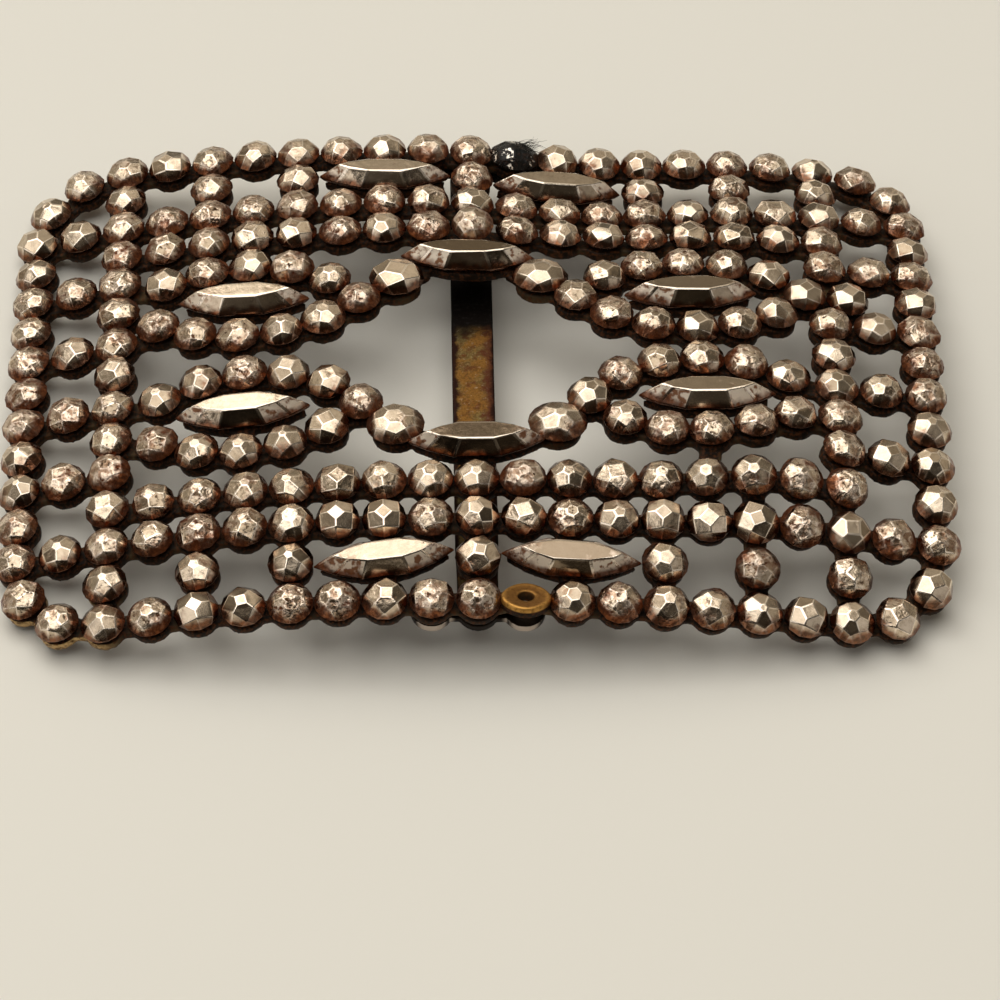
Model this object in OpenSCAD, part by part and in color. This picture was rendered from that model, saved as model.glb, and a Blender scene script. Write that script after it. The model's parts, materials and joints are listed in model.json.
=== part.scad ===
// Cut steel slide buckle for a belt: faceted steel studs riveted through a pierced, domed
// brass plate, with a plain centre bar behind it that the belt runs over.
// The front edge of the buckle faces -Y and its face is up. Places on the plate are given as
// [column, row], counted in stud pitches from the middle, and all other sizes in millimetres.

/* [Layout] */
// Distance from one stud to the next along a row, and from one row to the next
pitch = 3.6; // [3.55:0.05:3.8]

/* [Studs] */
// Width of a round stud
stud_d = 3.35; // [3:0.05:3.4]
// Height of a round stud above its base
stud_h = 1.6; // [1.2:0.1:1.8]
// Width of the four larger studs beside the centre stones
waist_d = 3.85; // [3.5:0.05:3.85]
// Shank of a stud, which passes through the plate
shank_d = 1.0; // [0.8:0.1:1]
// Width of the hammered end of a shank
tail_d = 1.7; // [1.5:0.1:2]
// Thickness of the hammered end of a shank
tail_t = 0.2; // [0.15:0.05:0.2]
// Clear gap between a stud, the plate and the hammered end
seat_gap = 0.1; // [0.1:0.01:0.12]

/* [Long stones] */
// Length of a long pointed stone
navette_l = 11.0; // [9:0.1:11]
// Width of a long pointed stone
navette_w = 3.5; // [2.6:0.1:3.5]
// Height of a long pointed stone
navette_h = 1.6; // [1:0.05:1.7]
// Distance from the middle of a long stone to each of its two shanks
navette_shank_x = 1.8; // [1.7:0.1:2]

/* [Plate] */
// Thickness of the brass plate
plate_t = 0.8; // [0.6:0.1:0.9]
// Width of the round lobe under each stud
lobe_d = 3.3; // [3:0.1:3.4]
// Width of the hole that a shank passes through
hole_d = 1.3; // [1.2:0.05:1.4]
// Width of the necks that join the lobes
neck_w = 1.8; // [1.4:0.1:2]
// How far a neck runs into a lobe
neck_bite = 0.5; // [0.4:0.05:0.6]
// How far the faces of a neck lie below the faces of the lobes
neck_step = 0.1; // [0.05:0.01:0.15]
// Bend of the lobe that has lost its stud, in degrees
bare_bend = 15; // [0:1:15]

/* [Dome] */
// Fall of the plate from the middle to the short sides
bow_x = 4.4; // [3:0.1:5]
// Fall of the plate from the middle to the long edges
bow_y = 2.5; // [2:0.1:3.5]
// Lean of the dome to one side
skew = 0.8; // [0:0.1:1]
// Twist between the middle line and the two long edges
fold = -1.4; // [-1.5:0.1:0]
// Lean of the dome to the rear
tail = 0.6; // [0:0.1:0.8]

/* [Centre bar] */
// Width of the bar
bar_w = 3.2; // [2.8:0.1:3.6]
// Thickness of the bar
bar_t = 0.8; // [0.6:0.1:0.8]

/* [Hidden] */

X = 0;
Y = 1;
TURN = 2;

// Column of the studs down each short side, column of the inner stud lines and row of the long edges
side_col = 10;
inner_col = 8;
edge_row = 7;

// Dents in the plate: [column, row, rise, reach along the row, reach across the row]
RISE = 2;
REACH_X = 3;
REACH_Y = 4;
dents = [
    [2.9, 5.5, -1.8, 2.6, 2.5],
    [6.5, -3.6, 1.8, 2.0, 1.6],
];

// Middles of the four stone rings: [column, row, turn in degrees]
FRONT_LEFT = 0;
FRONT_RIGHT = 1;
REAR_LEFT = 2;
REAR_RIGHT = 3;
rings = [
    [-5.10, -1.70, -1],
    [5.10, -1.55, 3],
    [-5.15, 1.85, -6],
    [4.88, 1.75, 5],
];

// The four larger studs, in the same order: [column, row]
waists = [[-1.75, -2.45], [1.79, -2.44], [-1.72, 2.18], [1.50, 2.20]];

// Long stones outside the rings: [column, row, turn in degrees]
FRONT_CENTRE = 0;
REAR_CENTRE = 1;
FRONT_LEFT_EDGE = 2;
FRONT_RIGHT_EDGE = 3;
REAR_LEFT_EDGE = 4;
REAR_RIGHT_EDGE = 5;
long_stones = [
    [0.02, -2.95, 1],
    [-0.12, 2.90, -1],
    [-2.00, -6.00, 6],
    [2.00, -6.00, -3],
    [-2.00, 6.00, -2],
    [1.97, 6.00, 4],
];

// Half of a ring, from the middle of the ring: [columns, rows]
half_ring = [[-1.87, 0.66], [-0.97, 1.03], [0, 1.17], [0.97, 1.03], [1.87, 0.66]];
ring_tip = 2.6;

// The end stud of each long edge and the corner stud beside it: [column, row]
edge_end = [9, 6.8];
corner = [9.76, 6.05];

// Where a stud is missing, where one is blackened and where one sits crooked: [column, row]
bare_lobe = [1, -edge_row];
blackened = [1, edge_row];
crooked = [0, 4];
crooked_lean = [14, -8, 0];
crooked_lift = 0.6;

// The two studs that crowd each other beside the rear right ring: [column, row]
crowded = [[7.47, 1.95], [8.44, 1.90]];

// Where the two outer ends of each ring join the rest, and how far along a centre stone its necks reach
ring_joints = [[[-8, -1], [-8, -2]], [[8, -1], [8, -2]], [[-8, 3], [-8, 1]], [crowded[0], crowded[0]]];
waist_joint = 0.75;

STUD_SIDES = 8;
TABLE_SIDES = 4;
NAVETTE_SIDES = 5;
slope_step = 0.05;
// Size of the lobe under a long stone, as a share of the stone's own
long_lobe_share = 0.92;
lobe_r = lobe_d / 2;
rivet_depth = plate_t + seat_gap + tail_t;
bar_depth = plate_t + seat_gap;

function mirrored(p, sx, sy) = [p[X] * sx, p[Y] * sy];
function turned(p, a) = [p[X] * cos(a) - p[Y] * sin(a), p[X] * sin(a) + p[Y] * cos(a)];
function sum(v) = v * [for (i = v) 1];
function dent_at(d, p) =
    d[RISE] * exp(-pow((p[X] - d[X]) / d[REACH_X], 2) - pow((p[Y] - d[Y]) / d[REACH_Y], 2));

// Height of the plate's face at [column, row], from the middle of the dome without its dents
function dome(p) =
    let (u = p[X] / side_col, v = p[Y] / edge_row)
    -bow_x * u * u - bow_y * v * v
    + skew * (pow(u, 3) - u) + fold * u * (v * v - 1) + tail * (pow(v, 3) - v)
    + sum([for (d = dents) dent_at(d, p)]);
function slope(p, step) = (dome(p + step) - dome(p - step)) / (2 * slope_step * pitch);
function slope_x(p) = slope(p, [slope_step, 0]);
function slope_y(p) = slope(p, [0, slope_step]);
function steepness(p) = norm([slope_x(p), slope_y(p), 1]);
function up(p) = [-slope_x(p), -slope_y(p), 1] / steepness(p);

// Stud places: [column, row]
function line(y, x0, x1) = [for (x = [x0:x1]) [x, y]];
function edge_line(s) = concat(
    [mirrored(edge_end, -1, s)],
    line(s * edge_row, -8, 8),
    [mirrored(edge_end, 1, s)]);
function side_line(s) = concat(
    [mirrored(corner, s, -1)],
    [for (y = [-5:5]) [s * side_col, y]],
    [mirrored(corner, s, 1)]);
function outer_row(s) = line(s * 5, -8, 8);
function inner_row(s) = line(s * 4, -7, 7);
function links(s) = [for (x = [-8, -6, -4, 0, 4, 6, 8]) [x, s * 6]];
function side_links(s) = [for (y = [-5:2:5]) [s * 9, y]];
function inner_line(s) = [for (y = [-4:4]) if (s < 0 || y != 2) [s * inner_col, y]];
function ring_half(c, s) = [for (p = half_ring) [c[X], c[Y]] + turned(mirrored(p, 1, s), c[TURN])];
function inward(c) = c[X] < 0 ? 1 : -1;
function tip(c) = [c[X], c[Y]] + turned([inward(c) * ring_tip, 0], c[TURN]);
function ring_places(c) = concat(ring_half(c, 1), ring_half(c, -1), [tip(c)]);
function without(places, gap) = [for (p = places) if (p != gap) p];

all_places = concat(
    edge_line(-1), edge_line(1), side_line(-1), side_line(1),
    outer_row(-1), outer_row(1), inner_row(-1), inner_row(1),
    links(-1), links(1), side_links(-1), side_links(1),
    inner_line(-1), inner_line(1), crowded, waists,
    [for (c = rings) each ring_places(c)]);

// The lowest point of the buckle is the hammered end of a corner stud, and it rests at z = 0
function low_point(p) =
    dome(p) - rivet_depth * up(p)[2] - tail_d / 2 * sqrt(1 - pow(up(p)[2], 2));
rest_z = -min([for (p = all_places) low_point(p)]);

function on_plate(p, depth) = [p[X] * pitch, p[Y] * pitch, rest_z + dome(p)] - depth * up(p);

// Puts its children on the plate's face, square to it
module at(p) {
    translate(on_plate(p, 0))
        rotate([asin(slope_y(p) / steepness(p)), -atan(slope_x(p)), 0])
            children();
}

// Stud and long stone

function flat_ring(n, r, z, start) =
    [for (k = [0:n - 1]) [r * cos(start + 360 * k / n), r * sin(start + 360 * k / n), z]];

// A round stone with a square table, a crown of eight facets and a skirt of sixteen, drawn in below
module stone(d, h) {
    n = STUD_SIDES;
    girdle_r = d / 2;
    girdle_z = 0.25 * h;
    foot_r = 0.78 * girdle_r;
    crown_r = 0.82 * girdle_r;
    crown_z = 0.62 * h;
    table_r = 0.44 * girdle_r;
    half = 180 / n;
    points = concat(
        flat_ring(n, foot_r, 0, 0),
        flat_ring(n, girdle_r, girdle_z, 0),
        flat_ring(n, crown_r, crown_z, half),
        flat_ring(TABLE_SIDES, table_r, h, 0));
    drawn_in = [for (k = [0:n - 1]) [k, n + k, n + (k + 1) % n, (k + 1) % n]];
    skirt = [for (k = [n:2 * n - 1]) let (next = n + (k + 1) % n) each [
        [k, n + k, next],
        [n + k, n + next, next]]];
    crown = [for (m = [0:TABLE_SIDES - 1]) let (
        t = 3 * n + m,
        t_next = 3 * n + (m + 1) % TABLE_SIDES,
        before = 2 * n + (2 * m + n - 1) % n,
        after = 2 * n + 2 * m,
        next = 2 * n + (2 * m + 1) % n) each [
        [before, t, after],
        [after, t, t_next, next]]];
    base = [[for (k = [0:n - 1]) k]];
    table = [[for (m = [TABLE_SIDES - 1:-1:0]) 3 * n + m]];
    polyhedron(points, concat(drawn_in, skirt, crown, base, table));
}

// A shank with its hammered end, from inside a stone at the given lift down through depth of metal
module shank(depth, lift = seat_gap) {
    translate([0, 0, -depth - seat_gap - tail_t / 2])
        cylinder(d = shank_d, h = depth + seat_gap + tail_t / 2 + lift + stud_h / 4, $fn = 24);
    translate([0, 0, -depth - seat_gap - tail_t])
        cylinder(d = tail_d, h = tail_t, $fn = 24);
}

function spin(p) = 37 * p[X] + 61 * p[Y];

function holds_bar(p) = abs(p[X]) <= 1 && abs(p[Y]) == edge_row;
function metal_under(p) = holds_bar(p) ? bar_depth + bar_t : plate_t;

module stud(p, d = stud_d) {
    at(p) {
        translate([0, 0, seat_gap]) rotate([0, 0, spin(p)]) stone(d, stud_h);
        shank(metal_under(p));
    }
}

module studs(places) {
    color("#8b8078") for (p = places) stud(p);
}

module waist_stud(k) {
    color("#7d736a") stud(waists[k], waist_d);
}

module blackened_stud() {
    color("#1c1a19") stud(blackened);
}

// A stud that has worked loose: its stone leans and its shank stands proud of the plate
module crooked_stud() {
    color("#8b8078") at(crooked) {
        translate([0, 0, crooked_lift]) rotate(crooked_lean) stone(stud_d, stud_h);
        shank(plate_t, crooked_lift);
    }
}

// A pointed oval outline: n points along each side, from tip to tip
function lens(l, w, z, n) = [
    for (s = [1, -1], k = [0:n - 1])
        let (t = s * (1 - 2 * k / n)) [t * l / 2, s * (1 - t * t) * w / 2, z]];

// A long stone: a pointed oval table inside a ring of bevels
module long_stone() {
    n = NAVETTE_SIDES;
    count = 2 * n;
    points = concat(
        lens(navette_l, navette_w, 0, n),
        lens(0.78 * navette_l, 0.5 * navette_w, navette_h, n));
    bevels = [for (k = [0:count - 1]) let (next = (k + 1) % count) each [
        [k, count + k, next],
        [count + k, count + next, next]]];
    base = [[for (k = [0:count - 1]) k]];
    table = [[for (k = [count - 1:-1:0]) count + k]];
    polyhedron(points, concat(bevels, base, table));
}

module navette(c) {
    color("#8f857a") at(c) rotate([0, 0, c[TURN]]) {
        translate([0, 0, seat_gap]) long_stone();
        for (s = [-1, 1]) translate([s * navette_shank_x, 0, 0]) shank(plate_t);
    }
}

// Brass plate and bar

module pierced_disc(d, t) {
    difference() {
        cylinder(d = d, h = t, $fn = 48);
        translate([0, 0, -t]) cylinder(d = hole_d, h = 3 * t, $fn = 24);
    }
}

// A lobe with its hole, its face lying a given depth below the plate's
module lobe(p, d = lobe_d, depth = 0, t = plate_t) {
    at(p) translate([0, 0, -depth - t]) pierced_disc(d, t);
}

// The lobe that has lost its stud, bent up about its inner edge
module bent_lobe() {
    at(bare_lobe) translate([0, lobe_r, 0]) rotate([-bare_bend, 0, 0])
        translate([0, -lobe_r, -plate_t]) pierced_disc(lobe_d, plate_t);
}

// A neck from the lobe at p to the lobe at q, its middle lying a given depth below the plate's face
module neck(p, q, depth = plate_t / 2, w = neck_w, t = plate_t - 2 * neck_step) {
    trim = lobe_r - neck_bite;
    a = on_plate(p, depth);
    b = on_plate(q, depth);
    v = b - a;
    heading = atan2(v[1], v[0]);
    middle = (p + q) / 2;
    roll = atan(cos(heading) * slope_y(middle) - sin(heading) * slope_x(middle));
    translate((a + b) / 2) rotate([roll, -asin(v[2] / norm(v)), heading])
        cube([norm(v) - 2 * trim, w, t], center = true);
}

module necks(places) {
    for (k = [1:len(places) - 1]) neck(places[k - 1], places[k]);
}

// The lobe under a long stone, joined to the studs beside it
module long_lobe(c, beside) {
    outline = lens(long_lobe_share * navette_l, long_lobe_share * navette_w, 0, 6);
    at(c) rotate([0, 0, c[TURN]]) translate([0, 0, -plate_t]) difference() {
        linear_extrude(plate_t) polygon([for (p = outline) [p[X], p[Y]]]);
        for (s = [-1, 1]) translate([s * navette_shank_x, 0, -plate_t])
            cylinder(d = hole_d, h = 3 * plate_t, $fn = 24);
    }
    for (p = beside) neck(p, [c[X], c[Y]]);
}

module border_plate() {
    for (p = without(concat(edge_line(-1), edge_line(1), side_line(-1), side_line(1)), bare_lobe)) lobe(p);
    bent_lobe();
    for (s = [-1, 1]) {
        necks(edge_line(s));
        necks(side_line(s));
        for (t = [-1, 1]) neck(mirrored(edge_end, s, t), mirrored(corner, s, t));
    }
}

module band_plate(s) {
    for (p = concat(outer_row(s), inner_row(s), links(s))) lobe(p);
    necks(line(s * 5, -inner_col, inner_col));
    necks(line(s * 4, -inner_col, inner_col));
    for (x = [-6, -4, 0, 4, 6]) necks([for (y = [5:7]) [x, s * y]]);
    for (x = [-6:2:6]) neck([x, s * 4], [x, s * 5]);
}

module side_plate(s) {
    line_places = [for (y = [-7:7]) s > 0 && y == 2 ? crowded[1] : [s * inner_col, y]];
    for (p = concat(side_links(s), inner_line(s))) lobe(p);
    necks(line_places);
    for (y = [-5:2:5], x = [8, 9]) neck([s * x, y], [s * (x + 1), y]);
}

module ring_plate(k) {
    c = rings[k];
    upper = ring_half(c, 1);
    lower = ring_half(c, -1);
    inner_end = c[X] < 0 ? 4 : 0;
    outer_end = 4 - inner_end;
    for (p = ring_places(c)) lobe(p);
    necks(upper);
    necks(lower);
    neck(upper[inner_end], tip(c));
    neck(lower[inner_end], tip(c));
    neck(upper[outer_end], ring_joints[k][0]);
    neck(lower[outer_end], ring_joints[k][1]);
    neck(c[Y] > 0 ? upper[2] : lower[2], [sign(c[X]) * 5, sign(c[Y]) * 4]);
    long_lobe(c, [upper[2], lower[2]]);
    lobe(waists[k], waist_d);
    neck(tip(c), waists[k]);
    centre = long_stones[c[Y] < 0 ? FRONT_CENTRE : REAR_CENTRE];
    neck(waists[k], [centre[X] + sign(c[X]) * waist_joint, centre[Y]]);
}

module plate() {
    color("#6d5330") {
        border_plate();
        for (s = [-1, 1]) {
            band_plate(s);
            side_plate(s);
        }
        for (p = crowded) lobe(p);
        neck(crowded[0], crowded[1]);
        for (k = [0:3]) ring_plate(k);
        for (k = [FRONT_CENTRE, REAR_CENTRE])
            long_lobe(long_stones[k], [[0, sign(long_stones[k][Y]) * 4]]);
        for (k = [FRONT_LEFT_EDGE:REAR_RIGHT_EDGE]) let (c = long_stones[k])
            long_lobe(c, [for (y = [5, 7]) [sign(c[X]) * 2, sign(c[Y]) * y]]);
    }
}

// The bar and its two scalloped feet, each foot held under three lobes of an edge by their shanks
module centre_bar() {
    middle_depth = bar_depth + bar_t / 2;
    bar_neck_t = bar_t - 2 * neck_step;
    color("#77603c") {
        for (s = [-1, 1]) {
            for (x = [-1:1]) lobe([x, s * edge_row], depth = bar_depth, t = bar_t);
            for (x = [-1, 0])
                neck([x, s * edge_row], [x + 1, s * edge_row], middle_depth, neck_w, bar_neck_t);
        }
        neck([0, -edge_row], [0, edge_row], middle_depth, bar_w, bar_neck_t);
    }
}

plate();
centre_bar();
studs(without(edge_line(-1), bare_lobe));  // front_edge_studs
studs(without(edge_line(1), blackened));  // rear_edge_studs
studs(side_line(-1));  // left_edge_studs
studs(side_line(1));  // right_edge_studs
studs(outer_row(-1));  // front_outer_row_studs
studs(inner_row(-1));  // front_inner_row_studs
studs(outer_row(1));  // rear_outer_row_studs
studs(without(inner_row(1), crooked));  // rear_inner_row_studs
studs(links(-1));  // front_link_studs
studs(links(1));  // rear_link_studs
studs(side_links(-1));  // left_link_studs
studs(side_links(1));  // right_link_studs
studs(inner_line(-1));  // left_inner_line_studs
studs(concat(inner_line(1), crowded));  // right_inner_line_studs
studs(ring_places(rings[FRONT_LEFT]));  // front_left_ring_studs
studs(ring_places(rings[FRONT_RIGHT]));  // front_right_ring_studs
studs(ring_places(rings[REAR_LEFT]));  // rear_left_ring_studs
studs(ring_places(rings[REAR_RIGHT]));  // rear_right_ring_studs
waist_stud(FRONT_LEFT);  // front_left_waist_stud
waist_stud(FRONT_RIGHT);  // front_right_waist_stud
waist_stud(REAR_LEFT);  // rear_left_waist_stud
waist_stud(REAR_RIGHT);  // rear_right_waist_stud
navette(rings[FRONT_LEFT]);  // front_left_ring_navette
navette(rings[FRONT_RIGHT]);  // front_right_ring_navette
navette(rings[REAR_LEFT]);  // rear_left_ring_navette
navette(rings[REAR_RIGHT]);  // rear_right_ring_navette
navette(long_stones[FRONT_CENTRE]);  // front_centre_navette
navette(long_stones[REAR_CENTRE]);  // rear_centre_navette
navette(long_stones[FRONT_LEFT_EDGE]);  // front_left_edge_navette
navette(long_stones[FRONT_RIGHT_EDGE]);  // front_right_edge_navette
navette(long_stones[REAR_LEFT_EDGE]);  // rear_left_edge_navette
navette(long_stones[REAR_RIGHT_EDGE]);  // rear_right_edge_navette
blackened_stud();
crooked_stud();
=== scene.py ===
"""A cut steel slide buckle for a belt, lying face up on a pale studio floor.

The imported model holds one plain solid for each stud, long stone and brass piece. Here each of them
gets its hand-cut facets, worn edges, pits and rust, in the place that its solid has.
"""

import json
import math

import bmesh
import bpy
import numpy as np
from mathutils import Matrix, Vector, noise


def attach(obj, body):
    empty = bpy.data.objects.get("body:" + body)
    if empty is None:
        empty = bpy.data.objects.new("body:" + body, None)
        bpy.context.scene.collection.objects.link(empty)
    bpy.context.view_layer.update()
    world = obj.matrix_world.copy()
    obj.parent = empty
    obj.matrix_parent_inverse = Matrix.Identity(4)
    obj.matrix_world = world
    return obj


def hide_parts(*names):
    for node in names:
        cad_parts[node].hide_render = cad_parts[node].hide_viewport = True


MM = 0.001
ROOT = "root"

# Camera: where it looks and from where
CAMERA_ELEVATION = 46.96
CAMERA_AZIMUTH = -1.37
CAMERA_ROLL = 0.58
CAMERA_DISTANCE = 361.6 * MM
CAMERA_TARGET = Vector((1.75, -17.5, 8.6)) * MM
CAMERA_LENS = 168.2
CAMERA_SENSOR = 36.0

# How finely the frame's meshes are read, in millimetres. A triangle counts when twice its area is
# more than LEAST_DOUBLED_AREA square metres.
WELD = 0.0005
LEVEL_STEP = 0.05
SAME_LEVEL = 0.01
LEAST_DOUBLED_AREA = 1e-14
# How many of a solid's flat faces are looked at
FLAT_FACES = 6
# The z of a direction that counts as facing down
FACES_DOWN = -0.5

# Round stones. Radii and heights are shares of the stone's own, and FALL is the drop of the upper
# facets over a radius, as a share of the height above the girdle.
SIDE_CHOICES = (4, 4, 5, 5, 6)
GROWTH = 1.10
TALLER = 1.04
GIRDLE = 0.3
FOOT = 0.68
TABLE_R = (0.16, 0.36)
SQUARE_TABLE_R = (0.28, 0.46)
SHOULDER_R = (0.62, 0.70)
FALL = (0.72, 0.9)
WIDTH_SPREAD = (0.985, 1.01)
HEIGHT_SPREAD = (0.97, 1.03)
LEAN_SPREAD = 0.08
SQUASH_SPREAD = 0.015
# How much wider than deep the waist studs and the crusted stud are
WAIST_STRETCH = 1.12
CRUST_STRETCH = 1.18

# Wear runs from 0, as polished, to 1, and tone is how much darker or lighter a stone is
WEAR_SHAPE = (1.7, 1.9)
TONE_SPREAD = 0.5
# Flat facets have a value from 0 to 1, which paints shade on some of them; rounded edges, which get
# painted highlights, and the pale ends of long stones, which get a painted sheen, have one outside it
RIDGE = -1.0
PALE = 2.0

# Edges and the unevenness of the facets, in millimetres and square millimetres
EDGE_ROUNDING = (0.05, 0.09)
LONG_EDGE_ROUNDING = 0.12
# How far in from its rounded edges a facet's grid starts, as a share of the rounding
INSET = 0.3
LEAST_FACET_Z = 0.1
LEAST_FACET_AREA = 0.03
LEAST_BUMP_Z = 0.05
BUMP_SIZE = 0.5
FINE_BUMP_SIZE = 0.22
SMOOTH_BUMP = 0.008
WORN_BUMP = 0.075
LONG_SMOOTH_BUMP = 0.006
LONG_WORN_BUMP = 0.11
GRID_CUTS = 2
LONG_GRID_CUTS = 6

# Shanks and their hammered ends, in millimetres
SHANK_R = 0.5
TAIL_R = 0.85
TAIL_T = 0.2
# Radius and level of the end's outline from the top down, as shares of TAIL_R and TAIL_T
TAIL_PROFILE = ((1.0, 0.8), (1.0, 0.35), (0.6, 0.0))

# Long stones. Stations are places along half the length, and other sizes are shares of the stone's own.
LONG_STATIONS = (1.0, 0.72, 0.34, -0.34, -0.72)
CAD_WIDEST_STATION = 0.2
LONG_RIM = (0.92, 0.84)
LONG_GIRDLE = (1.01, 1.1)
LONG_TABLE = (0.72, 0.54)
LONG_TABLE_SPREAD = (0.02, 0.06)
LONG_GIRDLE_Z = 0.26
LONG_TALLER = 1.08
# The share of its height that counts as the top of a long stone for its rust and grime
LONG_LIFT = 0.75
LONG_LEAST_WEAR = 0.15
# Where the pale ends of a long stone start, as shares of its length; their light colour is a painted sheen
PALE_ENDS = (0.16, 0.28)
# How much brown tarnish dulls some of the long stones
DULLNESS = {
    "front_centre_navette": 0.95,
    "rear_centre_navette": 0.75,
    "front_right_edge_navette": 0.85,
    "rear_right_ring_navette": 0.55,
    "rear_right_edge_navette": 0.35,
    "front_left_edge_navette": 0.3,
}

# The tuft on the crusted stud: from where its fibres start to how they lie, in millimetres
FIBRES = 48
FIBRE_STEPS = 6
FIBRE_START = ((-0.2, 1.4), (-0.4, 0.9), (0.9, 1.5))
FIBRE_SPREAD = 0.4
FIBRE_R = (0.018, 0.035)
FIBRE_TAPER = 0.6
STANDING = {"way": Vector((1.0, 0.1, 0.35)), "curl": Vector((0.2, 0.1, 0.3)), "length": (0.6, 1.7)}
DRAPED = {"way": Vector((1.0, 0.1, 0.1)), "curl": Vector((0.3, -0.2, -1.0)), "length": (0.9, 2.0)}
DRAPED_FOR_EACH_STANDING = 2

# The lobe that has lost its stud, in millimetres and degrees
LOBE_R = 1.65
PLATE_T = 0.8
CAD_BEND = 15
MORE_BEND = 11
# How far from its middle the plate follows the whole bend, and from where it stays as it is
BEND_REACH = (1.7, 2.6)
WASHER_WIDER = 1.14
WASHER_HOLE_R = 0.6
WASHER_SIDES = 64

# The plate and the bar: voxel in millimetres, and the share of the faces that is kept
PLATE_VOXEL = 0.15
PLATE_SHARE = 0.25
BAR_VOXEL = 0.08
BAR_SHARE = 0.4
# How far from a stone's middle the plate is under it and in its painted shade, and from where it is bare
# and out of that shade
STONE_SHADE_REACH = (1.7, 2.2)
# The bar's stem is this much wider, up to where it fades into its feet
BAR_WIDER = 1.06
BAR_STEM_END = 21
BAR_FADE = 2

# Soft light panels: name, elevation and azimuth in degrees, distance, width and height in metres,
# radiance and colour
PANELS = (
    ("overhead", 81, -94, 0.6, (0.68, 0.68), 1.72, (1.0, 0.985, 0.945)),
    ("window", 50, -38, 0.8, (0.45, 0.5), 1.55, (1.0, 0.985, 0.95)),
    ("left", 24, -118, 0.8, (0.5, 0.45), 1.0, (1.0, 0.98, 0.94)),
    ("right", 24, 118, 0.8, (0.5, 0.45), 0.42, (1.0, 0.98, 0.94)),
)
# The room: its colours, where they meet along y, its uneven patches and the range of its strength
ROOM_NEAR = (0.04, 0.034, 0.026, 1.0)
ROOM_BEHIND = (0.41, 0.37, 0.30, 1.0)
ROOM_BLEND = (-0.6, 0.5)
ROOM_PATCHES = 2.2
ROOM_DETAIL = 1.5
ROOM_PATCH_EDGES = (0.36, 0.64)
ROOM_STRENGTH = (0.3, 1.7)
# Half the side of the square floor, in metres
FLOOR_HALF = 3.0

# Each node draws from this seed plus its place in the record
FIRST_SEED = 100


def facets_of(points, triangles):
    """The largest flat faces of one solid, largest first: direction and middle of each."""
    corners = points[triangles]
    cross = np.cross(corners[:, 1] - corners[:, 0], corners[:, 2] - corners[:, 0])
    doubled = np.linalg.norm(cross, axis=1)
    kept = doubled > LEAST_DOUBLED_AREA
    corners, cross, doubled = corners[kept], cross[kept], doubled[kept]
    facing = cross / doubled[:, None]
    middle = corners.mean(axis=1)
    level = np.einsum("ij,ij->i", facing, middle)
    keys = np.column_stack([np.round(facing, 2), np.round(level / (LEVEL_STEP * MM))])
    _, group = np.unique(keys, axis=0, return_inverse=True)
    group = group.ravel()
    area = np.bincount(group, doubled / 2)
    out = []
    for g in np.argsort(-area)[:FLAT_FACES]:
        own = group == g
        share = doubled[own, None] / doubled[own].sum()
        direction = Vector((facing[own] * share).sum(axis=0)).normalized()
        out.append((direction, Vector((middle[own] * share).sum(axis=0))))
    return out


def loose_solids(node):
    """The solids that a CAD node holds, each as its points and triangles."""
    bm = bmesh.new()
    bm.from_mesh(frame["nodes"][node].data)
    bmesh.ops.remove_doubles(bm, verts=bm.verts, dist=WELD * MM)
    bmesh.ops.triangulate(bm, faces=bm.faces)
    bm.verts.index_update()
    label = {}
    for start in bm.verts:
        if start.index in label:
            continue
        label[start.index] = start.index
        stack = [start]
        while stack:
            for edge in stack.pop().link_edges:
                for end in edge.verts:
                    if end.index not in label:
                        label[end.index] = start.index
                        stack.append(end)
    points = np.array([v.co for v in bm.verts])
    triangles = np.array([[v.index for v in f.verts] for f in bm.faces])
    owner = np.array([label[t[0]] for t in triangles])
    bm.free()
    return [(points, triangles[owner == name]) for name in np.unique(owner)]


def seats(node):
    """Where each stone of a node sits: its base and the hammered end of its shank."""
    found = []
    for points, triangles in loose_solids(node):
        faces = facets_of(points, triangles)
        base_facing, base = faces[0]
        tail_facing, tail = next(face for face in faces[1:] if face[0].z < FACES_DOWN)
        found.append({
            "base": base,
            "up": -base_facing,
            "tail": tail,
            "tail_up": -tail_facing,
            "points": points[np.unique(triangles)],
        })
    return found


class Gather:
    """Points and faces of many stones, joined to one mesh, with a few values for each point."""

    def __init__(self):
        self.points = []
        self.faces = []
        self.values = {"lift": [], "wear": [], "tone": [], "dull": []}
        self.facets = []

    def add(self, bm, place, wear, tone, height, dull=0.0):
        bm.verts.index_update()
        start = len(self.points)
        for v in bm.verts:
            self.points.append(place @ v.co)
            self.values["lift"].append(v.co.z / height)
            self.values["wear"].append(wear)
            self.values["tone"].append(tone)
            self.values["dull"].append(dull)
        layer = bm.faces.layers.float["facet"]
        for f in bm.faces:
            self.faces.append([start + v.index for v in f.verts])
            self.facets.append(f[layer])
        bm.free()

    def to_object(self, name):
        mesh = bpy.data.meshes.new(name)
        mesh.from_pydata(self.points, [], self.faces)
        for value, numbers in self.values.items():
            mesh.attributes.new(value, "FLOAT", "POINT").data.foreach_set("value", numbers)
        mesh.attributes.new("facet", "FLOAT", "FACE").data.foreach_set("value", self.facets)
        mesh.polygons.foreach_set("use_smooth", [True] * len(mesh.polygons))
        mesh.update()
        obj = bpy.data.objects.new(name, mesh)
        bpy.context.scene.collection.objects.link(obj)
        return obj


def ring(bm, n, radius, z, start=0.0):
    """A level ring of n points about the z axis."""
    turn = math.tau / n
    return [
        bm.verts.new((radius * math.cos(start + k * turn), radius * math.sin(start + k * turn), z))
        for k in range(n)
    ]


def bridge(bm, lower, upper):
    """Adds the faces between two rings that have the same number of points."""
    n = len(lower)
    for k in range(n):
        bm.faces.new((lower[k], lower[(k + 1) % n], upper[(k + 1) % n], upper[k]))


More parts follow.
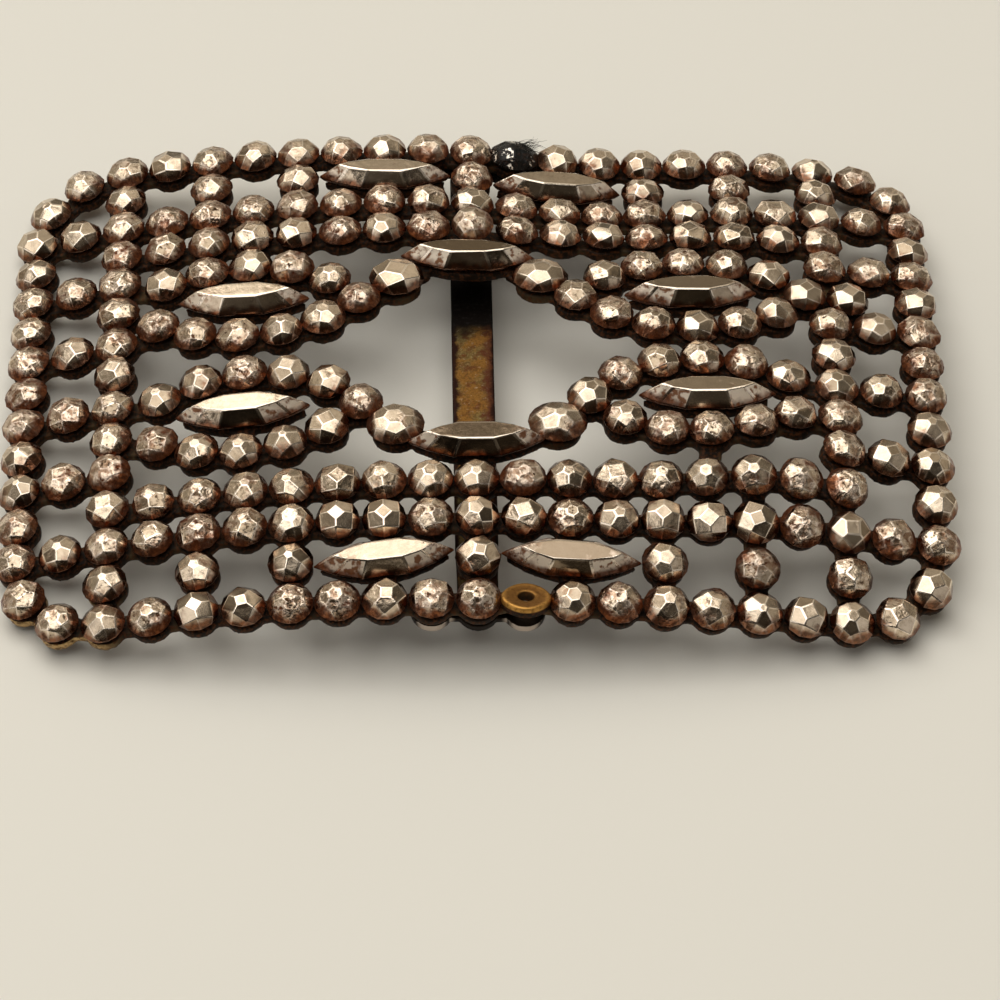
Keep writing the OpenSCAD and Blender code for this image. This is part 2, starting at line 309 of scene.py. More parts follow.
def frame_at(origin, up, along=Vector((1, 0, 0))):
    """A placement whose z axis is up and whose x axis lies along the given direction."""
    z = up.normalized()
    x = (along - z * along.dot(z)).normalized()
    y = z.cross(x)
    return Matrix.Translation(origin) @ Matrix((x, y, z)).transposed().to_4x4()


def dress_edges(bm, edges, width, rng, cuts, rough):
    """Rounds the given edges, and gives each flat face a fine grid that is a little uneven.

    The height of the unevenness comes from rough, a function of the place.
    """
    ridges = bmesh.ops.bevel(
        bm, geom=edges, offset=width, offset_type="OFFSET", segments=2, profile=0.6,
        affect="EDGES", clamp_overlap=True)["faces"]
    layer = bm.faces.layers.float["facet"]
    for f in ridges:
        f[layer] = RIDGE
    flats = [f for f in bm.faces if f[layer] != RIDGE]
    crown = [
        f for f in flats
        if f.calc_center_median().z > LEAST_FACET_Z * MM and f.calc_area() > LEAST_FACET_AREA * MM * MM
    ]
    bmesh.ops.inset_individual(bm, faces=crown, thickness=INSET * width, use_even_offset=True)
    inner = bmesh.ops.triangulate(bm, faces=crown)["faces"]
    inner_edges = list(dict.fromkeys(e for f in inner for e in f.edges))
    bmesh.ops.subdivide_edges(bm, edges=inner_edges, cuts=cuts, use_grid_fill=True)
    offset = Vector(rng.uniform(0, 50, 3))
    for v in bm.verts:
        if v.co.z > LEAST_BUMP_Z * MM:
            away = v.co.normalized()
            bump = noise.noise(v.co / (BUMP_SIZE * MM) + offset)
            fine_bump = noise.noise(v.co / (FINE_BUMP_SIZE * MM) + offset)
            v.co += away * (bump + 0.5 * fine_bump) * rough(v.co)


def round_stone(rng, width, height, wear):
    """A round stone: a small table, a ring of five-sided facets and three facets below each of them."""
    bm = bmesh.new()
    n = int(rng.choice(SIDE_CHOICES))
    r = GROWTH * width / 2
    height *= TALLER
    floor = GIRDLE * height
    rise = height - floor
    turn = math.tau / n
    table_r = rng.uniform(*(SQUARE_TABLE_R if n == 4 else TABLE_R))
    shoulder_r = rng.uniform(*SHOULDER_R)
    fall = rng.uniform(*FALL)
    # The point below each upper facet is where the planes of the facets around it meet
    reach = fall * table_r * math.cos(turn / 2)
    shoulder_z = 1 + reach - fall * shoulder_r * math.cos(turn / 2)
    steep = shoulder_z / (math.cos(turn / 6) * (1 - shoulder_r))
    point_r = (steep * math.cos(turn / 6) - 1 - reach) / (steep * math.cos(turn / 3) - fall)
    point_z = 1 + reach - fall * point_r
    table = ring(bm, n, table_r * r, height)
    upper = ring(bm, n, shoulder_r * r, floor + shoulder_z * rise)
    lower = ring(bm, n, point_r * r, floor + point_z * rise, turn / 2)
    girdle = ring(bm, 3 * n, r, floor)
    foot = ring(bm, 3 * n, FOOT * r, 0.0)
    for k in range(n):
        after = (k + 1) % n
        edge = [girdle[(3 * k + step) % (3 * n)] for step in range(4)]
        bm.faces.new((table[k], upper[k], lower[k], upper[after], table[after]))
        bm.faces.new((upper[k], edge[0], edge[1], lower[k]))
        bm.faces.new((lower[k], edge[1], edge[2]))
        bm.faces.new((lower[k], edge[2], edge[3], upper[after]))
    bm.faces.new(table)
    bridge(bm, foot, girdle)
    lean = rng.normal(0, LEAN_SPREAD, 2)
    squash = rng.normal(1, SQUASH_SPREAD, 2)
    for v in bm.verts:
        above = max(v.co.z - floor, 0)
        v.co.x = v.co.x * squash[0] + above * lean[0]
        v.co.y = v.co.y * squash[1] + above * lean[1]
    layer = bm.faces.layers.float.new("facet")
    for f in bm.faces:
        f[layer] = rng.uniform()
    edges = [e for e in bm.edges if min(v.co.z for v in e.verts) > 0.5 * floor]
    bump = (SMOOTH_BUMP + WORN_BUMP * wear ** 2) * MM
    dress_edges(bm, edges, rng.uniform(*EDGE_ROUNDING) * MM, rng, GRID_CUTS, lambda place: bump)
    return bm


def close_stud(bm, seat, place):
    """Adds the base of a stone, its shank and the hammered end, from the rim down."""
    rim = sorted(
        {v for e in bm.edges if e.is_boundary for v in e.verts},
        key=lambda v: math.atan2(v.co.y, v.co.x) % math.tau)
    angles = [math.atan2(v.co.y, v.co.x) for v in rim]
    at_base = Matrix.Identity(4)
    at_tail = place.inverted() @ frame_at(seat["tail"], seat["tail_up"])

    def circle(radius, z, on):
        return [bm.verts.new(on @ Vector((radius * math.cos(a), radius * math.sin(a), z))) for a in angles]

    rings = [
        rim,
        circle(SHANK_R * MM, 0.0, at_base),
        circle(SHANK_R * MM, TAIL_T * MM, at_tail),
    ]
    for wide, level in TAIL_PROFILE:
        rings.append(circle(wide * TAIL_R * MM, level * TAIL_T * MM, at_tail))
    for upper, lower in zip(rings, rings[1:]):
        bridge(bm, lower, upper)
    bm.faces.new(rings[-1][::-1])


def stud(gather, seat, rng, width, height, wear, tone, stretch):
    """Adds a round stone with its shank at a seat, turned at random."""
    bm = round_stone(rng, width, height, wear)
    turned = Matrix.Rotation(rng.uniform(0, math.tau), 4, "Z")
    oval = Matrix.Diagonal((stretch, 1.0, 1.0, 1.0)) @ turned
    place = frame_at(seat["base"], seat["up"]) @ oval
    close_stud(bm, seat, place)
    gather.add(bm, place, wear, tone, height)


def tuft(gather, seat, rng):
    """Short dark fibres in the crust of a blackened stud: most drape over it, and a few stand off."""
    for k in range(FIBRES):
        fibre = DRAPED if k % (DRAPED_FOR_EACH_STANDING + 1) else STANDING
        bm = bmesh.new()
        start = seat["base"] + Vector([rng.uniform(*span) for span in FIBRE_START]) * MM
        spread = Vector(rng.normal(0, FIBRE_SPREAD, 3))
        way = (fibre["way"] + spread).normalized()
        length = rng.uniform(*fibre["length"]) * MM
        thick = rng.uniform(*FIBRE_R) * MM
        across = way.orthogonal().normalized()
        beside = way.cross(across)
        rings = []
        for step in range(FIBRE_STEPS + 1):
            t = step / FIBRE_STEPS
            centre = start + way * length * t + fibre["curl"] * length * 0.5 * t * t
            wide = thick * (1 - FIBRE_TAPER * t)
            rings.append([
                bm.verts.new(centre + (across * math.cos(a) + beside * math.sin(a)) * wide)
                for a in (0, math.tau / 3, 2 * math.tau / 3)
            ])
        for lower, upper in zip(rings, rings[1:]):
            bridge(bm, lower, upper)
        bm.faces.new(rings[0][::-1])
        bm.faces.new(rings[-1])
        bm.faces.layers.float.new("facet")
        gather.add(bm, Matrix.Identity(4), 1.0, 0.0, MM)


def scale_of(seat):
    """Width and height of the stone at a seat, measured square to its base."""
    rel = seat["points"] - np.array(seat["base"])
    up = np.array(seat["up"])
    z = rel @ up
    flat = np.linalg.norm(rel - np.outer(z, up), axis=1)
    return 2 * flat.max(), z.max()


def stud_field(node, seed, crusted):
    """All round stones of a node, joined to one mesh."""
    rng = np.random.default_rng(seed)
    stretch = 1.0
    if crusted:
        stretch = CRUST_STRETCH
    elif "waist" in node:
        stretch = WAIST_STRETCH
    gather = Gather()
    for seat in seats(node):
        width, height = scale_of(seat)
        wear = float(rng.beta(*WEAR_SHAPE))
        tone = float(rng.normal(0, TONE_SPREAD))
        width *= rng.uniform(*WIDTH_SPREAD)
        height *= rng.uniform(*HEIGHT_SPREAD)
        stud(gather, seat, rng, width, height, wear, tone, stretch)
        if crusted:
            tuft(gather, seat, rng)
    return gather.to_object(node + "_cut")


def long_stone(node, seed):
    """A long pointed stone with its table and its bevels."""
    rng = np.random.default_rng(seed)
    seat = seats(node)[0]
    points = seat["points"] - np.array(seat["base"])
    up = np.array(seat["up"])
    z = points @ up
    flat = points - np.outer(z, up)
    low = flat[np.abs(z) < SAME_LEVEL * MM]
    tip = low[np.argmax(np.linalg.norm(low, axis=1))]
    along = Vector(tip if tip[0] > 0 else -tip)
    length = 2 * along.length
    across = np.cross(up, np.array(along.normalized()))
    width = 2 * np.abs(low @ across).max() / (1 - CAD_WIDEST_STATION ** 2)
    height = LONG_TALLER * z.max()
    place = frame_at(seat["base"], seat["up"], along)
    bm = bmesh.new()

    def lens(shares, level):
        long = shares[0] * length
        wide = shares[1] * width
        return [
            bm.verts.new((side * t * long / 2, side * (1 - t * t) * wide / 2, level))
            for side in (1, -1) for t in LONG_STATIONS
        ]

    rim = lens(LONG_RIM, 0.0)
    girdle = lens(LONG_GIRDLE, LONG_GIRDLE_Z * height)
    table = lens(LONG_TABLE, height)
    for v in table:
        v.co.x *= 1 + rng.normal(0, LONG_TABLE_SPREAD[0])
        v.co.y *= 1 + rng.normal(0, LONG_TABLE_SPREAD[1])
    bridge(bm, rim, girdle)
    bridge(bm, girdle, table)
    bm.faces.new(table)
    bm.faces.new(rim[::-1])
    layer = bm.faces.layers.float.new("facet")
    # The pale ends are marked here for their painted sheen
    ends = rng.uniform(*PALE_ENDS, 2) * length
    above = 0.5 * LONG_GIRDLE_Z * height
    for f in bm.faces:
        middle = f.calc_center_median()
        pale = middle.z > above and abs(middle.x) > ends[int(middle.x > 0)]
        f[layer] = PALE if pale else rng.uniform()
    edges = [e for e in bm.edges if min(v.co.z for v in e.verts) > above]

    def worn(point):
        """0 at the middle of the stone and 1 at its ends."""
        return min(abs(point.x) / (length / 2), 1) ** 2

    def rough(point):
        return (LONG_SMOOTH_BUMP + LONG_WORN_BUMP * worn(point)) * MM

    dress_edges(bm, edges, LONG_EDGE_ROUNDING * MM, rng, LONG_GRID_CUTS, rough)
    wear = [LONG_LEAST_WEAR + (1 - LONG_LEAST_WEAR) * worn(v.co) for v in bm.verts]
    gather = Gather()
    gather.add(bm, place, 0.0, 0.0, LONG_LIFT * height, DULLNESS.get(node, 0.0))
    gather.values["wear"] = wear
    return gather.to_object(node + "_cut")


def bare_lobe():
    """Where the front edge has lost a stud, and the way its lobe faces."""
    row = sorted(seats("front_edge_studs"), key=lambda seat: seat["base"].x)
    left, right = max(zip(row, row[1:]), key=lambda pair: pair[1]["base"].x - pair[0]["base"].x)
    return (left["base"] + right["base"]) / 2, (left["up"] + right["up"]).normalized()


def stone_bases():
    """The middle of each round stone's base, and every second corner of each long stone."""
    bases = []
    for item in frame["record"]["subparts"]:
        if item["material_slot"] in ("cut_steel", "black_coating"):
            bases += [np.array(seat["base"]) for seat in seats(item["node"])]
        elif item["material_slot"] == "long_stone_steel":
            for seat in seats(item["node"]):
                bases += list(seat["points"][::2])
    return bases


def washer(middle, up):
    """The bare lobe: a thick disc with its hole, bent up about its inner edge, as a mesh."""
    tilt = Matrix.Rotation(math.radians(-CAD_BEND - MORE_BEND), 4, "X")
    hinge = Vector((0, LOBE_R, 0)) * MM
    place = frame_at(middle, up) @ Matrix.Translation(hinge) @ tilt @ Matrix.Translation(-hinge)
    # Radius, height, how bare and how golden the brass is, from the foot of the hole over the top
    profile = (
        (WASHER_HOLE_R, -PLATE_T - 0.04, 0.0, 0.0),
        (WASHER_HOLE_R, -0.05, 0.3, 0.0),
        (WASHER_HOLE_R + 0.06, 0.03, 1.0, 0.3),
        (0.95, 0.02, 1.0, 0.0),
        (1.3, 0.03, 1.0, 0.1),
        (1.5, 0.08, 1.0, 0.6),
        (1.62, 0.06, 1.0, 1.0),
        (LOBE_R + 0.04, -0.05, 1.0, 1.0),
        (LOBE_R + 0.06, -0.3, 1.0, 0.9),
        (LOBE_R + 0.05, -0.42, 0.0, 0.2),
        (LOBE_R + 0.03, -PLATE_T - 0.04, 0.0, 0.0),
    )
    mesh = bpy.data.meshes.new("washer")
    points = []
    for radius, z, _, _ in profile:
        for k in range(WASHER_SIDES):
            a = math.tau * k / WASHER_SIDES
            reach = 1 + (WASHER_WIDER - 1) * abs(math.cos(a)) ** 3 * radius / LOBE_R
            points.append(place @ (Vector((radius * reach * math.cos(a), radius * math.sin(a), z)) * MM))
    faces = []
    rows = len(profile)
    for row in range(rows):
        below = row * WASHER_SIDES
        above = (row + 1) % rows * WASHER_SIDES
        for k in range(WASHER_SIDES):
            after = (k + 1) % WASHER_SIDES
            faces.append((below + k, above + k, above + after, below + after))
    mesh.from_pydata(points, [], faces)
    mesh.polygons.foreach_set("use_smooth", [True] * len(mesh.polygons))
    for name, column in (("bare", 2), ("rim", 3)):
        values = [row[column] for row in profile for _ in range(WASHER_SIDES)]
        mesh.attributes.new(name, "FLOAT", "POINT").data.foreach_set("value", values)
    return mesh


def bent_up(points, middle):
    """Bends the bare lobe further up off the foot of the bar, about its inner edge."""
    out = np.linalg.norm(points[:, :2] - np.array(middle)[:2], axis=1)
    bent, unbent = BEND_REACH
    bend = math.radians(MORE_BEND) * np.clip((unbent * MM - out) / ((unbent - bent) * MM), 0, 1)
    y = points[:, 1] - (middle.y + LOBE_R * MM)
    z = points[:, 2] - middle.z
    points[:, 1] += np.where(y < 0, y * (np.cos(bend) - 1) + z * np.sin(bend), 0)
    points[:, 2] += np.where(y < 0, z * (np.cos(bend) - 1) - y * np.sin(bend), 0)


def dress_plate(mesh, bases):
    """Puts the dressed bare lobe in its place, and marks the parts of the plate that no stone covers and
    that lie out of the stones' painted shade.
    """
    middle, up = bare_lobe()
    points = np.array([v.co for v in mesh.vertices])
    apart = np.min([np.linalg.norm(points - base, axis=1) for base in bases], axis=0)
    shaded_to, unshaded_from = STONE_SHADE_REACH
    outside_stone_shade = np.clip((apart - shaded_to * MM) / ((unshaded_from - shaded_to) * MM), 0, 1)
    mesh.attributes.new("outside_stone_shade", "FLOAT", "POINT").data.foreach_set("value", outside_stone_shade)
    for name in ("bare", "rim"):
        mesh.attributes.new(name, "FLOAT", "POINT").data.foreach_set("value", np.zeros(len(points)))
    bent_up(points, middle)
    mesh.vertices.foreach_set("co", points.ravel())
    bm = bmesh.new()
    bm.from_mesh(mesh)
    bm.from_mesh(washer(middle, up))
    bm.to_mesh(mesh)
    bm.free()
    mesh.update()


def mesh_copy(node, name):
    """A new object with a copy of a CAD node's mesh."""
    obj = bpy.data.objects.new(name, frame["nodes"][node].data.copy())
    obj.data.materials.clear()
    bpy.context.scene.collection.objects.link(obj)
    return obj


def widen_stem(mesh):
    """Widens the bar between its feet."""
    for v in mesh.vertices:
        fade = min(max((BAR_STEM_END * MM - abs(v.co.y)) / (BAR_FADE * MM), 0), 1)
        v.co.x *= 1 + (BAR_WIDER - 1) * fade


def soften(obj, voxel, share):
    """Turns a mesh into one even skin with softened edges."""
    weld = obj.modifiers.new("weld", "WELD")
    weld.merge_threshold = WELD * MM
    remesh = obj.modifiers.new("remesh", "REMESH")
    remesh.mode = "VOXEL"
    remesh.voxel_size = voxel
    smooth = obj.modifiers.new("smooth", "SMOOTH")
    smooth.factor = 0.5
    smooth.iterations = 3
    thin = obj.modifiers.new("thin", "DECIMATE")
    thin.ratio = share
    bake(obj)


def bake(obj):
    """Applies all modifiers of an object."""
    graph = bpy.context.evaluated_depsgraph_get()
    mesh = bpy.data.meshes.new_from_object(obj.evaluated_get(graph))
    obj.modifiers.clear()
    obj.data = mesh
    mesh.polygons.foreach_set("use_smooth", [True] * len(mesh.polygons))


class Nodes:
    """A material's node tree, with short ways to add and link nodes."""

    def __init__(self, name):
        self.material = bpy.data.materials.new(name)
        self.material.use_nodes = True
        self.tree = self.material.node_tree
        self.shader = self.tree.nodes["Principled BSDF"]

    def add(self, kind, settings=(), **inputs):
        node = self.tree.nodes.new(kind)
        for key, value in dict(settings).items():
            setattr(node, key, value)
        for key, value in inputs.items():
            self.set(node.inputs[key.replace("_", " ")], value)
        return node

    def set(self, socket, value):
        if isinstance(value, bpy.types.NodeSocket):
            self.tree.links.new(value, socket)
        else:
            socket.default_value = value

    def math(self, operation, a, b=0.0, c=0.0, clamp=False):
        node = self.tree.nodes.new("ShaderNodeMath")
        node.operation = operation
        node.use_clamp = clamp
        for socket, value in zip(node.inputs, (a, b, c)):
            self.set(socket, value)
        return node.outputs[0]

    def noise(self, size, detail, rough=0.55):
        """Noise whose grain is about the given size in metres."""
        place = self.add("ShaderNodeTexCoord").outputs["Object"]
        node = self.add(
            "ShaderNodeTexNoise", Vector=place, Scale=1 / size, Detail=detail, Roughness=rough)
        return node.outputs["Fac"]

    def value(self, name):
        return self.add("ShaderNodeAttribute", {"attribute_name": name}).outputs["Fac"]

    def step(self, value, low, high):
        """0 below low, 1 above high, and smooth between them."""
        node = self.add("ShaderNodeMapRange", {"interpolation_type": "SMOOTHSTEP"})
        self.set(node.inputs["Value"], value)
        self.set(node.inputs["From Min"], low)
        self.set(node.inputs["From Max"], high)
        return node.outputs["Result"]

    def mix(self, factor, a, b):
        """Colour a where factor is 0 and colour b where it is 1."""
        node = self.add("ShaderNodeMix", {"data_type": "RGBA"})
        self.set(node.inputs[0], factor)
        self.set(node.inputs[6], a)
        self.set(node.inputs[7], b)
        return node.outputs[2]

    def bump(self, height, distance, strength):
        return self.add("ShaderNodeBump", Height=height, Distance=distance, Strength=strength).outputs[0]

    def finish(self, **inputs):
        for key, value in inputs.items():
            self.set(self.shader.inputs[key.replace("_", " ")], value)
        return self.material


def rgb(red, green, blue):
    """A colour with full opacity, in linear light."""
    return (red, green, blue, 1.0)


def steel(name, wear_shift):
    """Polished steel with pits, brown tarnish and orange rust that creeps up from the rim, painted shade
    on some facets, painted highlights on the rounded edges and a painted sheen on the pale ends of long
    stones.
    """
    polished = rgb(0.80, 0.665, 0.52)
    mottled = rgb(0.52, 0.405, 0.285)
    tarnished = rgb(0.35, 0.265, 0.175)
    dulled = rgb(0.20, 0.145, 0.095)
    shaded_facet = rgb(0.16, 0.11, 0.06)
    edge_highlight = rgb(0.93, 0.81, 0.68)
    cream_sheen = rgb(0.92, 0.80, 0.66)
    cream_stain = rgb(0.26, 0.11, 0.05)
    flake = rgb(0.88, 0.72, 0.60)
    flaked_hollow = rgb(0.22, 0.09, 0.045)
    pit = rgb(0.07, 0.034, 0.017)
    orange_rust = rgb(0.22, 0.055, 0.017)
    dark_rust = rgb(0.07, 0.018, 0.008)
    chestnut = rgb(0.20, 0.062, 0.02)
    dark_chestnut = rgb(0.07, 0.022, 0.009)

    n = Nodes(name)
    lift = n.value("lift")
    wear = n.math("ADD", n.value("wear"), wear_shift)
    tone = n.value("tone")
    facet = n.value("facet")
    broad = n.noise(1.5 * MM, 3.0)
    fine = n.noise(0.45 * MM, 5.0, 0.65)
    grain = n.noise(0.14 * MM, 3.0, 0.6)
    crumple = n.noise(0.6 * MM, 3.0, 0.5)

    # Polished metal, mottled and tarnished more on some stones than on others
    mottle = n.math("MULTIPLY_ADD", wear, 1.2, 0.15, clamp=True)
    mottle = n.math("MULTIPLY", n.step(fine, 0.38, 0.66), mottle)
    colour = n.mix(mottle, polished, mottled)
    shade = n.math("MULTIPLY_ADD", tone, 0.2, n.math("MULTIPLY_ADD", broad, 0.9, -0.15))
    colour = n.mix(n.math("MULTIPLY", shade, 0.7, clamp=True), colour, tarnished)
    colour = n.mix(n.value("dull"), colour, dulled)

    # Painted shade on some facets, painted highlights on the rounded edges, and a painted sheen with
    # stains on the pale ends of the long stones
    colour = n.mix(n.math("MULTIPLY", n.step(facet, 0.4, 1.0), 0.65), colour, shaded_facet)
    colour = n.mix(n.math("MULTIPLY", n.step(facet, -0.3, -0.9), 0.8), colour, edge_highlight)
    # The pale ends are a painted sheen: a light colour stands in for light scattered by their crumpled
    # relief, with real stains in it
    pale = n.step(facet, 1.2, 1.8)
    sheen_and_stain = n.mix(n.step(crumple, 0.5, 0.62), cream_sheen, cream_stain)
    colour = n.mix(n.math("MULTIPLY", pale, 0.9), colour, sheen_and_stain)

    # Flaked patches and pits
    eaten = n.step(n.math("MULTIPLY_ADD", wear, 0.4, broad), 0.64, 0.86)
    eaten = n.math("MULTIPLY", eaten, 0.55)
    colour = n.mix(eaten, colour, n.mix(n.step(crumple, 0.44, 0.56), flake, flaked_hollow))
    pits = n.math("MULTIPLY", n.step(fine, 0.57, 0.66), n.step(wear, 0.2, 0.7))
    colour = n.mix(pits, colour, pit)

    # Rust, and chestnut grime along the rim
    low = n.math("MULTIPLY", n.math("SUBTRACT", 0.65, lift), 0.32)
    amount = n.math("ADD", n.math("MULTIPLY_ADD", wear, 0.24, low), n.math("MULTIPLY", broad, 0.8))
    rust = n.step(n.math("MULTIPLY_ADD", fine, 0.5, amount), 0.79, 1.0)
    colour = n.mix(rust, colour, n.mix(n.step(grain, 0.35, 0.62), orange_rust, dark_rust))
    rim = n.math("MULTIPLY_ADD", n.math("SUBTRACT", broad, 0.5), 0.9, n.math("SUBTRACT", 0.86, lift))
    grime = n.math("MULTIPLY", n.step(rim, 0.0, 0.36), 0.9)
    colour = n.mix(grime, colour, n.mix(n.step(fine, 0.38, 0.6), chestnut, dark_chestnut))

    worn = n.math("MAXIMUM", n.math("MAXIMUM", rust, pits), n.math("MULTIPLY", eaten, 0.5))
    satin = n.math("MULTIPLY_ADD", n.math("MAXIMUM", tone, 0.0), 0.12, 0.15)
    rough = n.math("MULTIPLY_ADD", worn, 0.22, n.math("MULTIPLY_ADD", mottle, 0.16, satin))
    relief = n.math("MULTIPLY_ADD", pits, -0.3, n.math("MULTIPLY", fine, 0.3))
    relief = n.math("MULTIPLY_ADD", n.math("MULTIPLY", eaten, crumple), -1.8, relief)
    return n.finish(
        Base_Color=colour,
        Metallic=n.math("MULTIPLY_ADD", rust, -0.45, n.math("MULTIPLY_ADD", pale, -0.45, 1.0)),
        Specular_IOR_Level=n.math("MULTIPLY_ADD", rust, -0.4, 0.5),
        Roughness=n.math("MULTIPLY_ADD", pale, 0.28, rough),
        Normal=n.bump(relief, 0.16 * MM, n.math("MULTIPLY_ADD", wear, 0.8, 0.12)))


def plate_brass(name):
    """Brass that is near black with grime and painted shade, lit gold at one corner's edge as a painted
    glint, and golden brown on the bare lobe.
    """
    black_grime_and_shade = rgb(0.012, 0.007, 0.004)
    brown_grime_and_shade = rgb(0.08, 0.028, 0.01)
    lit_brass = rgb(0.55, 0.37, 0.17)
    lit_brass_stain = rgb(0.07, 0.03, 0.01)
    bare_brown = rgb(0.20, 0.095, 0.026)
    bare_rim = rgb(0.55, 0.29, 0.075)
    bare_stain = rgb(0.09, 0.04, 0.012)

    n = Nodes(name)
    broad = n.noise(1.8 * MM, 4.0)
    fine = n.noise(0.3 * MM, 5.0, 0.6)
    facing = n.add("ShaderNodeNewGeometry").outputs["Normal"]
    level = n.math("ABSOLUTE", n.add("ShaderNodeSeparateXYZ", Vector=facing).outputs["Z"])
    place = n.add("ShaderNodeSeparateXYZ", Vector=n.add("ShaderNodeTexCoord").outputs["Object"])

    # The edge of the front left corner, lit gold as a painted glint, and what no stone covers, out of the
    # stones' painted shade
    at_left = n.step(place.outputs["X"], -27 * MM, -30 * MM)
    at_front = n.step(place.outputs["Y"], -20 * MM, -23 * MM)
    side = n.math("MULTIPLY", n.step(level, 0.75, 0.4), n.math("MULTIPLY", at_left, at_front))
    side = n.math("MULTIPLY", side, n.step(broad, 0.35, 0.45))
    shown = n.math("MULTIPLY", n.value("outside_stone_shade"), n.step(broad, 0.42, 0.62))
    shown = n.math("MAXIMUM", n.math("MULTIPLY", shown, 0.22), side)

    # Near-black grime that is also the painted shade between and under the stones; lit brass shows where
    # that shade is left off
    grime_and_shade = n.mix(n.step(fine, 0.45, 0.65), black_grime_and_shade, brown_grime_and_shade)
    lit_brass_mix = n.mix(n.step(fine, 0.4, 0.7), lit_brass, lit_brass_stain)
    bare = n.value("bare")
    gold = n.mix(n.value("rim"), bare_brown, bare_rim)
    gold = n.mix(n.math("MULTIPLY", n.step(fine, 0.45, 0.7), 0.6), gold, bare_stain)
    return n.finish(
        Base_Color=n.mix(bare, n.mix(shown, grime_and_shade, lit_brass_mix), gold),
        Metallic=n.math("MAXIMUM", n.math("MULTIPLY", bare, 0.8), n.math("MULTIPLY", shown, 0.9)),
        Specular_IOR_Level=0.08,
        Roughness=n.math("MULTIPLY_ADD", fine, 0.3, 0.32),
        Normal=n.bump(fine, 0.04 * MM, 0.35))


def bar_brass(name):
    """Ochre and olive brass in small patches, with painted shade at its edges and a painted shadow toward
    the rear edge.
    """
    ochre = rgb(0.24, 0.115, 0.026)
    olive = rgb(0.19, 0.14, 0.05)
    brown_patch = rgb(0.13, 0.038, 0.012)
    pale_speck = rgb(0.36, 0.26, 0.15)
    dark_grain = rgb(0.06, 0.032, 0.01)
    red_edge_tarnish_and_shade = rgb(0.085, 0.022, 0.012)
    edge_shade = rgb(0.022, 0.008, 0.005)
    rear_shadow_black = rgb(0.007, 0.005, 0.004)
    foot_grime_and_shade = rgb(0.014, 0.009, 0.006)
    foot_highlight = rgb(0.58, 0.49, 0.42)

    n = Nodes(name)
    broad = n.noise(1.6 * MM, 4.0)
    patch = n.noise(0.8 * MM, 5.0, 0.65)
    fine = n.noise(0.3 * MM, 5.0, 0.6)
    grain = n.noise(0.16 * MM, 3.0, 0.6)
    place = n.add("ShaderNodeSeparateXYZ", Vector=n.add("ShaderNodeTexCoord").outputs["Object"])
    x = place.outputs["X"]
    y = place.outputs["Y"]
    facing = n.add("ShaderNodeNewGeometry").outputs["Normal"]
    front = n.add("ShaderNodeSeparateXYZ", Vector=facing).outputs["Y"]

    # Patches, specks and grain
    colour = n.mix(n.step(broad, 0.42, 0.56), ochre, olive)
    colour = n.mix(n.math("MULTIPLY", n.step(patch, 0.46, 0.64), 0.85), colour, brown_patch)
    colour = n.mix(n.step(fine, 0.58, 0.72), colour, pale_speck)
    colour = n.mix(n.math("MULTIPLY", n.step(grain, 0.4, 0.66), 0.5), colour, dark_grain)

    # Painted shade along the long edges, the right one redder with tarnish as well, and a painted shadow
    # over the rear end
    red = n.step(n.math("MULTIPLY_ADD", broad, 2.4 * MM, x), 1.6 * MM, 2.5 * MM)
    colour = n.mix(n.math("MULTIPLY", red, 0.85), colour, red_edge_tarnish_and_shade)
    across = n.math("MULTIPLY_ADD", patch, 1.2 * MM, n.math("ABSOLUTE", x))
    colour = n.mix(n.step(across, 1.75 * MM, 2.15 * MM), colour, edge_shade)
    along = n.math("MULTIPLY_ADD", broad, 3 * MM, y)
    colour = n.mix(n.step(along, 5.2 * MM, 8 * MM), colour, rear_shadow_black)

    # The foot is black with grime and painted shade, and the front faces of its outer lobes get a painted
    # highlight; the middle lobe stays in painted shadow
    foot = n.step(y, -22.2 * MM, -23 * MM)
    colour = n.mix(foot, colour, foot_grime_and_shade)
    outer = n.step(n.math("ABSOLUTE", x), 1.7 * MM, 2.3 * MM)
    foot_highlight_mask = n.math("MULTIPLY", n.math("MULTIPLY", foot, outer), n.step(front, -0.6, -0.9))
    colour = n.mix(foot_highlight_mask, colour, foot_highlight)
    return n.finish(
        Base_Color=colour,
        Metallic=n.math("MULTIPLY_ADD", n.step(fine, 0.5, 0.7), -0.5, 0.9),
        Specular_IOR_Level=0.2,
        Roughness=n.math("MULTIPLY_ADD", fine, 0.3, 0.38),
        Normal=n.bump(fine, 0.06 * MM, 0.3))


def black_crust(name):
    """Glossy black crust that has flaked from a few facets."""
    black = rgb(0.003, 0.0025, 0.002)
    brown_black = rgb(0.022, 0.010, 0.006)
    bright_metal = rgb(0.92, 0.85, 0.76)
    n = Nodes(name)
    fine = n.noise(0.4 * MM, 5.0, 0.65)
    flaked = n.math("MULTIPLY", n.step(n.value("facet"), 0.45, 0.5), n.step(fine, 0.46, 0.43))
    crust = n.mix(n.step(fine, 0.5, 0.66), black, brown_black)
    return n.finish(
        Base_Color=n.mix(flaked, crust, bright_metal),
        Metallic=flaked,
        Specular_IOR_Level=0.22,
        Roughness=n.math("MULTIPLY_ADD", flaked, 0.3, 0.13),
        Normal=n.bump(fine, 0.12 * MM, 0.9))


def floor_material():
    """A pale matt floor whose tone varies a little."""
    darker = rgb(0.80, 0.775, 0.71)
    lighter = rgb(0.82, 0.795, 0.73)
    n = Nodes("pale_floor")
    return n.finish(Base_Color=n.mix(n.noise(60 * MM, 2.0), darker, lighter), Roughness=0.75)


